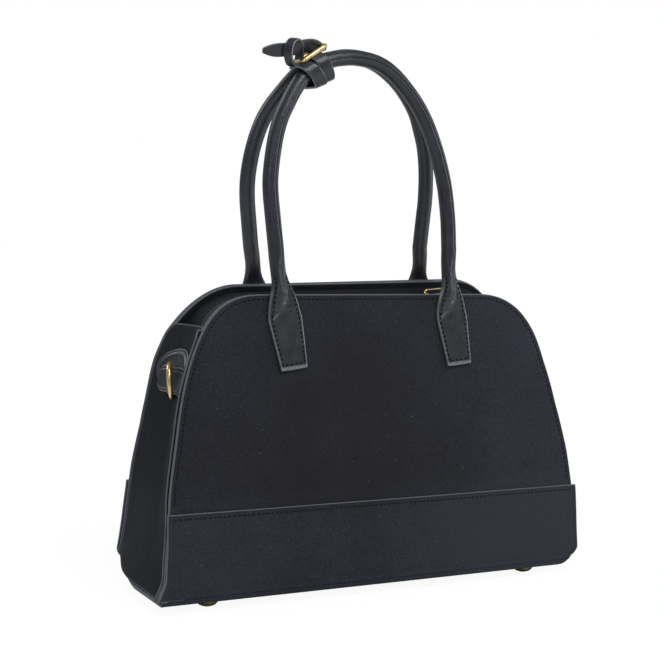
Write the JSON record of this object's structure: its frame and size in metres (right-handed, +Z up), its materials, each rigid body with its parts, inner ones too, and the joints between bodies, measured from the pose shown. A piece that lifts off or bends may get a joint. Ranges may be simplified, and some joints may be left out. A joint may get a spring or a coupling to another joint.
{
  "type": "bowler bag",
  "caption": "Structured bowler bag with leaning panels, a wrapped base on metal feet, creased side gussets with D-rings, a recessed top zip and rolled handles tied by a buckled belt",
  "frame": {"origin": "on the floor under the middle of the bag", "axes": "+X to the right as seen from the front, along the bag's long side; +Y from the front panel to the back panel; +Z up"},
  "size_m": [0.3092, 0.1126, 0.365],
  "materials": {
    "suede": "matte nubuck",
    "leather": "smooth semi-gloss",
    "gold": "pale gold, polished",
    "board": "plain",
    "tape": "woven"
  },
  "bodies": {
    "bag": {"front_panel": "suede", "back_panel": "suede", "front_lower_band": "suede", "back_lower_band": "suede", "base_panel": "suede", "left_gusset": "suede", "right_gusset": "suede", "front_zip_strip": "suede", "back_zip_strip": "suede", "base_board": "board", "front_left_foot": "gold", "front_right_foot": "gold", "back_left_foot": "gold", "back_right_foot": "gold", "front_zip_tape": "tape", "back_zip_tape": "tape", "left_zip_stop": "gold", "right_zip_stop": "gold", "front_left_tab": "leather", "front_right_tab": "leather", "back_left_tab": "leather", "back_right_tab": "leather", "front_left_neck": "leather", "front_right_neck": "leather", "back_left_neck": "leather", "back_right_neck": "leather", "left_patch": "leather", "right_patch": "leather", "left_ring_strap": "leather", "right_ring_strap": "leather"},
    "handles": {"front_handle": "leather", "back_handle": "leather", "belt_strap": "leather", "belt_keeper": "leather", "buckle_frame": "gold", "buckle_prong": "gold"},
    "slider": {"zip_slider": "gold"},
    "puller": {"zip_puller": "gold"},
    "left_ring": {"left_ring": "gold"},
    "right_ring": {"right_ring": "gold"}
  },
  "joints": [
    {"name": "handle_swing", "type": "hinge", "parent": "bag", "child": "handles", "pos_m": [0, 0, 0.205], "axis": [1, 0, 0], "range_deg": [-20, 20], "stiffness_Nm_per_rad": 0.4, "deforming": ["front_left_neck", "front_right_neck", "back_left_neck", "back_right_neck"]},
    {"name": "zip_slide", "type": "slide", "parent": "bag", "child": "slider", "axis": [1, 0, 0], "range_m": [-0.1465, 0]},
    {"name": "puller_flip", "type": "hinge", "parent": "slider", "child": "puller", "pos_m": [0.07195, 0, 0.19562], "axis": [0, 1, 0], "range_deg": [0, 150]},
    {"name": "left_ring_swing", "type": "hinge", "parent": "bag", "child": "left_ring", "pos_m": [-0.13776, -0.002, 0.13904], "axis": [0, 0, -1], "range_deg": [-5, 135]},
    {"name": "right_ring_swing", "type": "hinge", "parent": "bag", "child": "right_ring", "pos_m": [0.13776, -0.002, 0.13904], "axis": [0, 0, 1], "range_deg": [-5, 135]}
  ]
}
